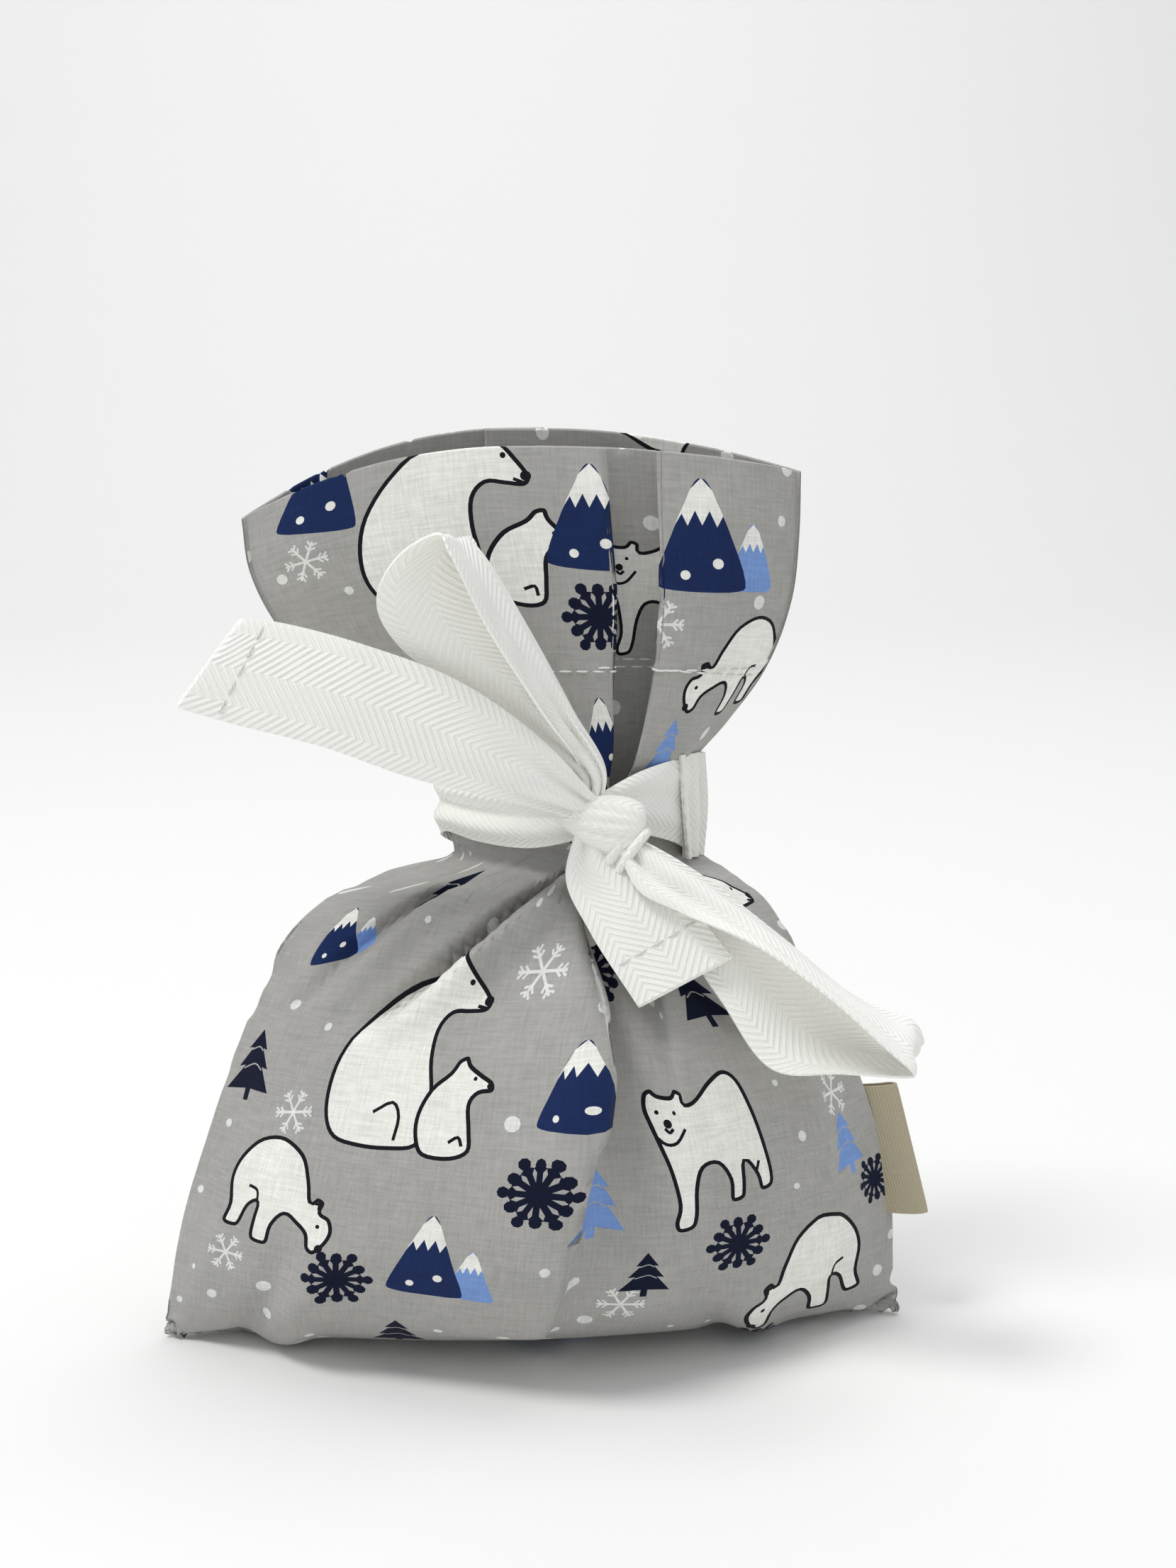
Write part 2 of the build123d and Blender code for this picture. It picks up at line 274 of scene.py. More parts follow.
def settle():
    """Both panels after a short cloth simulation from the folded start shape."""
    front, back = grid_index()
    start = np.zeros((back.max() + 1, 3))
    start[back] = back_start
    start[front] = front_start
    flat = np.zeros_like(start)
    levels, places = np.linspace(0, FLAT_HEIGHT, UP), np.linspace(-0.5, 0.5, ACROSS) * FLAT_WIDTH
    sheet = np.stack(np.meshgrid(places, [0.0], levels, indexing="ij"), axis=-1)[:, 0].transpose(1, 0, 2)
    flat[back] = sheet + (0, 2.0, 0)
    flat[front] = sheet
    mesh = bpy.data.meshes.new("cloth_sim")
    mesh.from_pydata((start * MM * SIM_SCALE).tolist(), [], quads(front, False) + quads(back, True))
    cloth = bpy.data.objects.new("cloth_sim", mesh)
    bpy.context.scene.collection.objects.link(cloth)
    cloth.shape_key_add(name="start")
    key = cloth.shape_key_add(name="flat")
    key.data.foreach_set("co", (flat * MM * SIM_SCALE).ravel())
    key.value = 0.0
    pins = cloth.vertex_groups.new(name="pins")
    v = np.linspace(0, FLAT_HEIGHT, UP)
    held = [i for i in range(UP) if v[i] >= PINNED_ABOVE]
    pins.add(sorted({int(n) for i in held for n in (*front[i], *back[i])}), 1.0, "REPLACE")
    pins.add([int(n) for n in front[0]], 1.0, "REPLACE")
    stiff = cloth.vertex_groups.new(name="stiff")
    hem = [i for i in range(UP) if v[i] > FLAT_HEIGHT - HEM_DEPTH]
    stiff.add(sorted({int(n) for i in hem for n in (*front[i], *back[i])}), 1.0, "REPLACE")
    ground = [(-200, -200, 0), (200, -200, 0), (200, 200, 0), (-200, 200, 0)]
    floor = collider("sim_floor", ground, [(0, 1, 2, 3)], 0.003)
    inside = filling()
    sim = cloth.modifiers.new("cloth", "CLOTH")
    st = sim.settings
    st.rest_shape_key = key
    st.vertex_group_mass = "pins"
    st.pin_stiffness = 1.0
    st.quality = 8
    st.mass = 0.15
    st.tension_stiffness = 30
    st.compression_stiffness = 25
    st.shear_stiffness = 8
    st.bending_stiffness = 4.0
    st.vertex_group_bending = "stiff"
    st.bending_stiffness_max = 8.0
    st.tension_damping = 12
    st.compression_damping = 12
    st.shear_damping = 8
    st.air_damping = 3
    st.effector_weights.gravity = 0.25
    col = sim.collision_settings
    col.use_collision = True
    col.distance_min = 0.004
    col.use_self_collision = True
    col.self_distance_min = 0.006
    col.collision_quality = 3
    sim.point_cache.frame_start, sim.point_cache.frame_end = 1, SIM_FRAMES
    for f in range(1, SIM_FRAMES + 1):
        bpy.context.scene.frame_set(f)
    shown = cloth.evaluated_get(bpy.context.evaluated_depsgraph_get())
    co = np.zeros(len(mesh.vertices) * 3)
    shown.data.vertices.foreach_get("co", co)
    co = co.reshape(-1, 3) / (MM * SIM_SCALE)
    bpy.context.scene.frame_set(1)
    for thing in (cloth, floor, inside):
        bpy.data.objects.remove(thing)
    return co[front], co[back]


front_shape, back_shape = settle()


# ---- folds too sharp for the simulation ---------------------------------------
BAND_LOW, BAND_TOP = tie_low[2] + 2.5, tie_high[2]      # the tied tape holds the cloth in here
NECK = (6.0, 18.3, 8.5)             # middle x, half width and half depth of the neck
SHOULDER = (26.0, 84.0, 106.0, 114.0)    # cloth heights over which the shoulders are widened
SHOULDER_SHARE = 0.75
# Each fold: its line as (u, v) from top to bottom, height, how far it reaches to the
# left and to the right of the line, and how deep a valley runs on its left. A negative
# height makes a groove.
FOLDS = [
    ([(9, 98), (7, 80), (3, 58), (-1, 22)], 5, 14, 1, 0),
    ([(13, 98), (11, 80), (7, 58), (3, 24)], -2, 2.4, 7, 0),
    ([(-4, 112), (-9, 103), (-18, 92), (-32, 76)], 4.4, 3.2, 5, 1),
    ([(-24, 110), (-30, 102), (-38, 92), (-46, 78)], 2.4, 4, 4, 0.8),
    ([(26, 110), (31, 100), (39, 86), (46, 72)], 2.2, 4, 4, 0.7),
    ([(-46, 6), (-41, 16), (-36, 28), (-33, 42)], 1.8, 4, 4, 0.6),
    ([(40, 6), (37, 14), (32, 24), (29, 34)], 1.5, 4, 4, 0.5),
]


def fold(shape, line, height, left, right, valley):
    """Raise the cloth along a line, in place."""
    levels = np.linspace(0, FLAT_HEIGHT, UP)
    places = np.linspace(-0.5, 0.5, ACROSS) * FLAT_WIDTH
    us, vs = np.array(sorted(line, key=lambda p: p[1]), float).T
    away = places[None, :] - np.interp(levels, vs, us)[:, None]
    part = np.clip((levels - vs[0]) / (vs[-1] - vs[0]), 0, 1)
    fade = np.sin(math.pi * part) ** 0.6
    lift = np.exp(-(away / np.where(away < 0, left, right)) ** 2)
    lift -= valley * np.exp(-((away + 1.7 * left) / (0.6 * left)) ** 2)
    out = unit(np.cross(np.gradient(shape, axis=1), np.gradient(shape, axis=0)))
    shape += out * (height * lift * fade[:, None])[:, :, None]


def calm(shape, low, high, rounds):
    """Even out the simulation's small wrinkles between two heights of the cloth."""
    levels = np.linspace(0, FLAT_HEIGHT, UP)
    part = np.clip((levels - low) / (high - low), 0, 1)
    weight = np.clip(4 * np.sin(math.pi * part), 0, 1)[1:-1, None, None] * 0.5
    for _ in range(rounds):
        middle = shape[1:-1, 1:-1]
        near = (shape[2:, 1:-1] + shape[:-2, 1:-1] + shape[1:-1, 2:] + shape[1:-1, :-2]) / 4
        middle += weight * (near - middle)


def hold_in(shape):
    """Keep the cloth inside the tape that is tied round the neck."""
    x, y, z = shape[:, :, 0] - NECK[0], shape[:, :, 1], shape[:, :, 2]
    spread = np.clip((BAND_LOW - z) / 4, 0, 9) + np.clip((z - BAND_TOP) / 4, 0, 9)
    room = 1 + spread ** 2
    reach = (np.abs(x / NECK[1]) ** 2 + np.abs(y / NECK[2]) ** 1.4) ** 0.6
    pull = np.where(reach > room, room / reach, 1.0)
    shape[:, :, 0] = NECK[0] + x * pull
    shape[:, :, 1] = y * pull


def widen(shape, start):
    """Bring the shoulders back towards the start shape, as the simulation draws them in."""
    levels = np.linspace(0, FLAT_HEIGHT, UP)
    weight = SHOULDER_SHARE * np.interp(levels, SHOULDER, (0, 1, 1, 0))[:, None, None]
    shape += weight * (start - shape)


for shape, start in ((front_shape, front_start), (back_shape, back_start)):
    widen(shape, start)
    calm(shape, 12.0, 80.0, 3)
    calm(shape, 70.0, 118.0, 8)
for line in FOLDS:
    fold(front_shape, *line)
hold_in(front_shape)
hold_in(back_shape)

# ---- a panel as a smooth surface ---------------------------------------------
FOLD_RADIUS = 0.35          # of the turned-in top edge


class Panel:
    """A panel's surface over flat cloth: u across, v up, both in millimetres."""

    def __init__(self, shape, outward):
        self.shape = shape
        self.up, self.across = shape.shape[:2]
        self.outward = outward

    def on(self, u, v):
        """Points on the surface, by cubic interpolation of the grid both ways."""
        row = np.clip(v / FLAT_HEIGHT, 0, 1) * (self.up - 1)
        column = np.clip(u / FLAT_WIDTH + 0.5, 0, 1) * (self.across - 1)
        i = np.clip(np.floor(row).astype(int), 0, self.up - 2)
        j = np.clip(np.floor(column).astype(int), 0, self.across - 2)
        s, t = row - i, column - j
        total = np.zeros((len(u), 3))
        for a, wa in zip((-1, 0, 1, 2), catmull(s)):
            ia = np.clip(i + a, 0, self.up - 1)
            for b, wb in zip((-1, 0, 1, 2), catmull(t)):
                jb = np.clip(j + b, 0, self.across - 1)
                total += (wa * wb)[:, None] * self.shape[ia, jb]
        return total

    def frame(self, u, v):
        """Points, outward normals and the directions that run up the cloth."""
        e = 0.4
        across = self.on(u + e, v) - self.on(u - e, v)
        up = self.on(u, np.minimum(v + e, FLAT_HEIGHT)) - self.on(u, v - e)
        normal = np.cross(across, up) * self.outward
        normal /= np.linalg.norm(normal, axis=1)[:, None] + 1e-9
        up = up / (np.linalg.norm(up, axis=1)[:, None] + 1e-9)
        return self.on(u, v), normal, up

    def wrapped(self, u, v):
        """Points and normals of the cloth, which turns in over the top edge."""
        past = v - FLAT_HEIGHT
        turn = np.clip(past / FOLD_RADIUS, 0, math.pi)
        inside = np.maximum(past - math.pi * FOLD_RADIUS, 0)
        p, n, up = self.frame(u, np.where(past > 0, FLAT_HEIGHT - inside, v))
        over = (past > 0)[:, None]
        c, s = np.cos(turn)[:, None], np.sin(turn)[:, None]
        return p + over * FOLD_RADIUS * (s * up - (1 - c) * n), np.where(over, c * n + s * up, n)


def catmull(t):
    return (-0.5 * t + t**2 - 0.5 * t**3, 1 - 2.5 * t**2 + 1.5 * t**3,
            0.5 * t + 2 * t**2 - 1.5 * t**3, -0.5 * t**2 + 0.5 * t**3)


# ---- drawing the print -------------------------------------------------------
INK = 0.65                  # width of a drawn outline


def blob(points, steps=4):
    """A smooth closed outline through points."""
    p = np.array(points, float)
    n = len(p)
    t = np.arange(steps) / steps
    w = catmull(t)
    parts = [sum(w[k][:, None] * p[(i + k - 1) % n] for k in range(4)) for i in range(n)]
    return np.concatenate(parts)


def disc(x, y, r, corners=12, squash=1.0):
    a = 2 * math.pi * np.arange(corners) / corners
    return np.stack([x + r * np.cos(a), y + squash * r * np.sin(a)], axis=1)


def turns_left(outline):
    ahead = np.roll(outline, -1, axis=0)
    return np.sum(outline[:, 0] * ahead[:, 1] - ahead[:, 0] * outline[:, 1]) > 0


def anticlockwise(outline):
    return outline if turns_left(outline) else outline[::-1]


def inner(outline, by):
    """The outline moved inwards, for the fill inside a drawn line."""
    along = np.roll(outline, -1, axis=0) - np.roll(outline, 1, axis=0)
    along /= np.linalg.norm(along, axis=1)[:, None] + 1e-9
    inwards = np.stack([-along[:, 1], along[:, 0]], axis=1)
    return outline + (by if turns_left(outline) else -by) * inwards


def stroke(points, width, smooth=3):
    """A drawn line through points, as a closed outline."""
    p = np.array(points, float)
    if smooth > 1 and len(p) > 2:
        ends = np.vstack([2 * p[0] - p[1], p, 2 * p[-1] - p[-2]])
        w = catmull(np.arange(smooth) / smooth)
        parts = [sum(w[k][:, None] * ends[i + k] for k in range(4)) for i in range(len(p) - 1)]
        p = np.vstack(parts + [p[-1:]])
    along = np.gradient(p, axis=0)
    along /= np.linalg.norm(along, axis=1)[:, None] + 1e-9
    side = np.stack([-along[:, 1], along[:, 0]], axis=1) * width / 2
    return np.vstack([p + side, (p - side)[::-1]])


def creature(outline, lines, dots, steps=4):
    """A white animal with a drawn outline, drawn lines and dark dots."""
    edge = blob(outline, steps)
    drawn = [("ink", edge), ("white", inner(edge, INK))]
    drawn += [("ink", stroke(line, INK * 0.8)) for line in lines]
    drawn += [("ink", disc(*dot)) for dot in dots]
    return drawn


def sitting_bear():
    outline = [
        (4, 1), (1.4, 4), (0.3, 9), (0.6, 15), (2.8, 21), (6.4, 26), (10.5, 29.2), (13.3, 30.4),
        (13.9, 32), (15.6, 32.4), (16.6, 30.6), (18.8, 28.6), (21.6, 26.4), (22.9, 24.9), (22.3, 23.4),
        (19.6, 22.9), (17, 22.4), (15.8, 19.8), (16.6, 15.5), (18.2, 11), (18.8, 6), (17.6, 2.2),
        (13.5, 1), (8.5, 0.5)]
    lines = [[(14.3, 30.4), (14.9, 31.3), (15.6, 30.5)], [(22.2, 23.9), (20.6, 24.1)],
             [(9.4, 6.2), (12.2, 8.2), (13.8, 6.2), (13.9, 2.6)]]
    return creature(outline, lines, [(18.5, 27.2, 0.42), (22.2, 25.0, 0.8)])


def cub():
    outline = [
        (2.2, 0.6), (0.5, 3.4), (0.3, 7), (1.8, 10.8), (4.4, 13.4), (5.4, 15.2), (6.8, 15.8),
        (7.7, 14.6), (9.6, 13.4), (11.6, 12.2), (11.7, 10.8), (9.6, 10.3), (8.6, 8.6), (9.2, 5),
        (9.4, 1.8), (6.6, 0.3)]
    return creature(outline, [[(6, 3), (7.4, 3.9), (8.1, 2.6)]], [(8.7, 12.6, 0.32), (11.2, 11.6, 0.5)])


def walking_bear():
    outline = [
        (0.7, 8), (0.6, 12), (2.6, 16.2), (7, 18.3), (11.5, 17.2), (14.6, 13.8), (16.4, 11),
        (17.2, 11.9), (18.6, 11.6), (18.8, 10), (20.6, 9.6), (21.9, 7.8), (21.9, 5.4), (20.8, 3.2),
        (19.1, 3.4), (17.8, 5.4), (15.6, 6.4), (13.2, 6.8), (12.2, 4.2), (12.6, 1.2), (11.6, 0.3),
        (9.4, 0.5), (8.4, 3.6), (7.7, 6.4), (6.4, 5), (6.3, 1.6), (5.2, 0.6), (3.2, 0.8), (2.8, 4)]
    lines = [[(7.7, 6.6), (6.6, 8.2), (4.6, 8.2)], [(17.2, 10.9), (17.9, 11.0), (18.2, 10.2)]]
    return creature(outline, lines, [(19.3, 7.6, 0.36), (21.2, 4.4, 0.7)])


def standing_bear():
    outline = [
        (1, 17.4), (0.5, 20), (1, 22.2), (2.2, 22.8), (3.2, 22), (5.2, 21.9), (6.3, 22.9), (7.7, 22.4),
        (7.9, 20.9), (10.5, 21.5), (14, 23.6), (17.2, 24.6), (19.3, 22.8), (20.1, 18), (20.4, 12),
        (20.5, 7), (19.8, 5), (17.8, 4.8), (17.4, 7.4), (15.9, 10), (15.2, 6.2), (14.5, 4.2),
        (12.4, 4.2), (12.6, 7.6), (11.2, 10.6), (8.6, 10.4), (7.2, 7.2), (6.6, 3), (5.7, 0.9),
        (3.4, 0.5), (2.8, 2), (3.6, 5), (3, 10), (1.9, 14)]
    lines = [[(1.7, 15.8), (3.1, 14.6), (5.0, 14.9), (6.9, 17.0)], [(17.4, 7.6), (18.4, 9.6)],
             [(3.3, 17.0), (4.0, 16.4), (4.7, 17.0)]]
    return creature(outline, lines, [(2.5, 19.4, 0.34), (5.4, 19.4, 0.34), (3.9, 17.7, 0.7)])


def peak(colour, spots=True):
    outline = [
        (0.2, 2), (1.2, 0.4), (7, 0), (12.8, 0.4), (13.8, 2), (11.4, 8.8), (8.6, 15.8), (7, 17.6),
        (5.4, 15.8), (2.6, 8.8)]
    teeth = [(2.95, 9.9), (4.1, 12.0), (4.9, 10.2), (6.0, 12.6), (7.0, 10.4), (8.1, 12.7), (9.2, 10.3),
             (10.1, 12.1), (11.05, 9.9), (8.6, 15.8), (7, 17.6), (5.4, 15.8)]
    drawn = [(colour, blob(outline, 3)), ("white", np.array(teeth))]
    if spots:
        drawn += [("white", disc(9.3, 4.6, 0.85)), ("white", disc(4.4, 2.6, 0.75))]
    return drawn


def two_peaks():
    small = [(colour, outline * 0.62 + (10.6, 0.4)) for colour, outline in peak("blue", False)]
    return small + peak("navy")


def fir(colour):
    right = [(0, 11.4), (2.0, 8.2), (1.1, 8.4), (3.2, 5.2), (1.9, 5.5), (4.6, 1.6), (0.6, 2.0), (0.6, 0.2)]
    outline = right + [(-x, y) for x, y in reversed(right[1:])]
    snow = [[(-1.3, 8.0), (0.2, 8.6), (1.2, 8.0)], [(-2.0, 5.0), (0.3, 5.9), (1.9, 5.0)]]
    return [(colour, np.array(outline))] + [("ground", stroke(line, 0.22)) for line in snow]


def flake(colour, arms, reach, thick):
    """A snowflake of straight arms, each with a pair of side twigs and a tip."""
    drawn = [(colour, disc(0, 0, reach * (0.26 if arms > 6 else 0.12), 16))]
    for k in range(arms):
        a = 2 * math.pi * k / arms
        turn = np.array([[math.cos(a), math.sin(a)], [-math.sin(a), math.cos(a)]])
        long = reach * (1.0 if k % 2 == 0 or arms <= 6 else 0.86)
        parts = [stroke([(0.1 * reach, 0), (long, 0)], thick, 1)]
        for start in ((0.55, 0.78) if arms <= 6 else (0.62,)):
            tip = start + 0.2
            bend = 0.22 if arms <= 6 else 0.15
            twig = [(tip * reach, -bend * reach), (start * reach, 0), (tip * reach, bend * reach)]
            parts.append(stroke(twig, thick * 0.85, 1))
        if arms > 6:
            parts.append(disc(long, 0, thick * 0.95, 8))
        drawn += [(colour, part @ turn) for part in parts]
    return drawn


MOTIFS = {
    "sitting": sitting_bear(), "cub": cub(), "walking": walking_bear(), "standing": standing_bear(),
    "peaks": two_peaks(), "peak": peak("navy"), "fir": fir("ink_blue"), "pale_fir": fir("blue"),
    "dark_flake": flake("ink_blue", 12, 4.9, 0.95), "pale_flake": flake("pale", 6, 4.3, 0.5),
}
# Where the print falls on the front panel: motif, u, v of its middle, turn in degrees, size
FRONT_PRINT = [
    ("sitting", -28, 74, -4, 1), ("cub", -18, 65.5, 0, 1), ("walking", -43, 48, -14, 1),
    ("standing", 24, 57, 3, 1), ("walking", 41, 31, 20, -1.15), ("peaks", -16, 42, 0, 0.8),
    ("peak", 0, 69, -4, 0.72), ("dark_flake", -4, 54, 0, 1), ("dark_flake", -31, 36, 5, 0.95),
    ("dark_flake", 27, 41, 0, 0.95), ("dark_flake", 59, 44, 0, 0.8), ("dark_flake", 10, 85, 0, 0.9),
    ("pale_flake", -9, 86, 0, 1), ("pale_flake", -45, 62, 10, 0.85), ("pale_flake", -6, 102, 0, 0.8),
    ("pale_flake", -51, 36, 0, 0.8), ("pale_flake", 53, 62, 0, 0.9), ("pale_flake", 10, 31, 0, 0.8),
    ("pale_fir", 5.5, 50, -6, 1.05), ("pale_fir", 53, 53, 0, 1), ("fir", 33, 82, 0, 1.05),
    ("fir", -57, 68, 5, 1.1), ("fir", 13, 37, 0, 0.8), ("fir", -38, 100, 0, 0.7),
    ("peaks", -50, 93, 20, 0.6), ("sitting", 8, 97, 0, 0.6), ("fir", -22, 23, 0, 0.9),
    ("pale_flake", -36, 15, 0, 1), ("dark_flake", 34, 16, 0, 0.9), ("peaks", 2, 14, 0, 0.8),
    ("sitting", 51, 90, 0, 0.8), ("walking", -20, 118, 0, 0.9), ("pale_fir", 26, 110, 0, 1),
    ("sitting", -33, 163, -16, 0.95), ("cub", -22, 156, -18, 1), ("peak", -13, 162, -4, 0.9),
    ("peaks", 47, 160, 0, 1), ("dark_flake", -13, 147, 0, 1), ("pale_flake", 38, 146, 0, 0.9),
    ("walking", 53, 139, 12, -0.9), ("peak", -14, 128, 0, 0.75), ("pale_flake", -53, 160, 0, 0.8),
    ("peak", -49, 172, -14, 0.9), ("fir", 30, 168, 0, 0.9), ("standing", 18, 150, 0, 0.8),
    ("fir", -40, 141, 0, 0.9), ("dark_flake", 30, 129, 0, 0.9), ("pale_fir", 44, 126, 0, 0.9),
    ("sitting", -20, 190, 180, 0.9), ("peaks", 30, 188, 180, 0.9), ("dark_flake", 8, 182, 0, 1),
    ("fir", -48, 186, 180, 1), ("pale_flake", 52, 184, 0, 1), ("walking", -8, 199, 180, 0.8),
]
DOT_STEP = 10.5             # the print's snow dots lie about this far apart


def placed(motif, u, v, turn, size):
    """A motif's outlines with its middle at (u, v); a negative size mirrors it."""
    drawn = MOTIFS[motif]
    every = np.vstack([outline for _, outline in drawn])
    middle = (every.min(axis=0) + every.max(axis=0)) / 2
    a = math.radians(turn)
    spin = np.array([[math.cos(a), math.sin(a)], [-math.sin(a), math.cos(a)]])
    flip = np.array([math.copysign(1, size), 1.0])
    turned = flip[:, None] * abs(size) * spin
    return [(colour, (outline - middle) @ turned + (u, v)) for colour, outline in drawn]


def snow(taken, seed):
    """White dots of uneven size in the gaps between the motifs."""
    random = np.random.default_rng(seed)
    dots = []
    for u in np.arange(-FLAT_WIDTH / 2 + 3, FLAT_WIDTH / 2, DOT_STEP * 0.8):
        for v in np.arange(3, FLAT_HEIGHT + HEM_DEPTH - 3, DOT_STEP):
            x, y = u + random.uniform(-4, 4), v + random.uniform(-4, 4)
            r = random.choice([0.55, 0.7, 0.95, 1.2])
            if all(np.any((low - 1 > (x, y)) | ((x, y) > high + 1)) for low, high in taken):
                dots.append(("pale", disc(x, y, r, 10)))
    return dots


def print_for(places, seed):
    """A panel's whole print: snow first, then the motifs over it."""
    groups = [placed(*place) for place in places]
    spots = [np.vstack([outline for _, outline in group]) for group in groups]
    boxes = [(spot.min(axis=0), spot.max(axis=0)) for spot in spots]
    return snow(boxes, seed) + [drawn for group in groups for drawn in group]


# ---- cutting the print into the cloth's mesh ---------------------------------
GRID_STEP = 1.5


def panel_points():
    """Evenly spread points of the flat panel, closer together at the top fold."""
    half = FLAT_WIDTH / 2
    us = np.linspace(-half, half, int(FLAT_WIDTH / GRID_STEP) + 1)
    top = FLAT_HEIGHT + HEM_DEPTH
    turn = math.pi * FOLD_RADIUS
    vs = np.concatenate([np.linspace(0, FLAT_HEIGHT, int(FLAT_HEIGHT / GRID_STEP)),
                         FLAT_HEIGHT + turn * np.array([0.25, 0.5, 0.75, 1.0]),
                         np.linspace(FLAT_HEIGHT + turn + 1.2, top, int(HEM_DEPTH / GRID_STEP))])
    return us, vs


def cut_cloth(drawn):
    """The flat panel in triangles that follow the print: points, triangles, colours."""
    us, vs = panel_points()
    points = [(u, v) for v in vs for u in us]
    n, m = len(us), len(vs)
    index = np.arange(m * n).reshape(m, n)
    edges = []
    for side in (index[0], index[-1], index[:, 0], index[:, -1]):
        edges += [(int(a), int(b)) for a, b in zip(side, side[1:])]
    faces, colours = [], []
    half = FLAT_WIDTH / 2
    for colour, outline in drawn:
        if outline[:, 0].max() < -half or outline[:, 0].min() > half or outline[:, 1].min() > vs[-1]:
            continue
        faces.append(list(range(len(points), len(points) + len(outline))))
        points += [tuple(p) for p in anticlockwise(outline)]
        colours.append(colour)
    cut = delaunay_2d_cdt([Vector(p) for p in points], edges, faces, 0, 1e-4, True)
    flat = np.array([tuple(p) for p in cut[0]])
    triangles, inks = [], []
    for corners, sources in zip(cut[2], cut[5]):
        middle = flat[corners].mean(axis=0)
        if abs(middle[0]) < half and 0 < middle[1] < vs[-1]:
            triangles.append(corners)
            inks.append(colours[max(sources)] if sources else "ground")
    return flat, triangles, inks


# ---- materials ---------------------------------------------------------------
def shader(name, rough):
    """A new material: itself, its node tree and its surface shader."""
    material = bpy.data.materials.new(name)
    material.use_nodes = True
    tree = material.node_tree
    base = tree.nodes["Principled BSDF"]
    base.inputs["Roughness"].default_value = rough
    return material, tree, base


def node(tree, kind, links=(), **values):
    """A new node, with sockets linked or set by position or name."""
    made = tree.nodes.new("ShaderNode" + kind)
    for key, value in values.items():
        setattr(made, key, value)
    for socket, source in links:
        if isinstance(source, bpy.types.NodeSocket):
            tree.links.new(source, made.inputs[socket])
        else:
            made.inputs[socket].default_value = source
    return made


def maths(tree, operation, *sources):
    """The result of a sum on sockets and plain numbers."""
    return node(tree, "Math", enumerate(sources), operation=operation).outputs[0]


def waves(tree, place, pitch):
    """A sine wave over a place, from -1 to 1."""
    return maths(tree, "SINE", maths(tree, "MULTIPLY", place, 2 * math.pi / pitch))


def dress(tree, base, colour, shade, height, strength, depth):
    """Tint a colour by the shade and raise the surface by the height."""
    tint = node(tree, "VectorMath", [(0, colour), (1, shade)], operation="MULTIPLY")
    tree.links.new(tint.outputs[0], base.inputs["Base Color"])
    bump = node(tree, "Bump", [("Height", height), ("Strength", strength), ("Distance", depth)])
    tree.links.new(bump.outputs[0], base.inputs["Normal"])


COTTON = {                  # the cloth's ground colour and the print's inks
    "ground": (0.400, 0.390, 0.370), "white": (0.86, 0.85, 0.80), "ink": (0.010, 0.010, 0.014),
    "navy": (0.012, 0.026, 0.095), "blue": (0.200, 0.330, 0.660), "ink_blue": (0.006, 0.009, 0.026),
    "pale": (0.76, 0.76, 0.73), "reverse": (0.52, 0.51, 0.49),
}
THREAD_PITCH = 0.00034      # in metres, as all sizes in the materials
SLUBS = 260.0               # uneven places to a metre of thread


def cotton(name, colour):
    """Plain-weave cotton: crossing threads of uneven thickness, slightly mottled."""
    material, tree, base = shader("cotton_" + name, 0.88)
    flat = node(tree, "UVMap", uv_map="flat").outputs[0]
    across, up, _ = node(tree, "SeparateXYZ", [(0, flat)]).outputs
    total = None
    for k, (a, b) in enumerate(((across, up), (up, across))):
        place = node(tree, "CombineXYZ", [(0, maths(tree, "MULTIPLY", a, 1 / THREAD_PITCH)),
                                          (1, maths(tree, "MULTIPLY", b, SLUBS)), (2, 3.0 * k)])
        links = [("Vector", place.outputs[0]), ("Scale", 0.9), ("Detail", 1.0)]
        slub = node(tree, "TexNoise", links).outputs[0]
        total = slub if total is None else maths(tree, "ADD", total, slub)
    mottle = node(tree, "TexNoise", [("Vector", flat), ("Scale", 110.0), ("Detail", 3.0)]).outputs[0]
    shade = maths(tree, "MULTIPLY_ADD", mottle, 0.16, 0.62)
    shade = maths(tree, "MULTIPLY_ADD", total, 0.30, shade)
    weave = [waves(tree, place, THREAD_PITCH) for place in (across, up)]
    height = maths(tree, "MULTIPLY_ADD", maths(tree, "MULTIPLY", *weave), 0.35, total)
    dress(tree, base, colour, shade, height, 0.35, 0.00012)
    base.inputs["Sheen Weight"].default_value = 0.03
    base.inputs["Sheen Roughness"].default_value = 0.5
    base.inputs["Specular IOR Level"].default_value = 0.12
    return material


INKS = {name: cotton(name, colour) for name, colour in COTTON.items()}
INK_ORDER = list(COTTON)


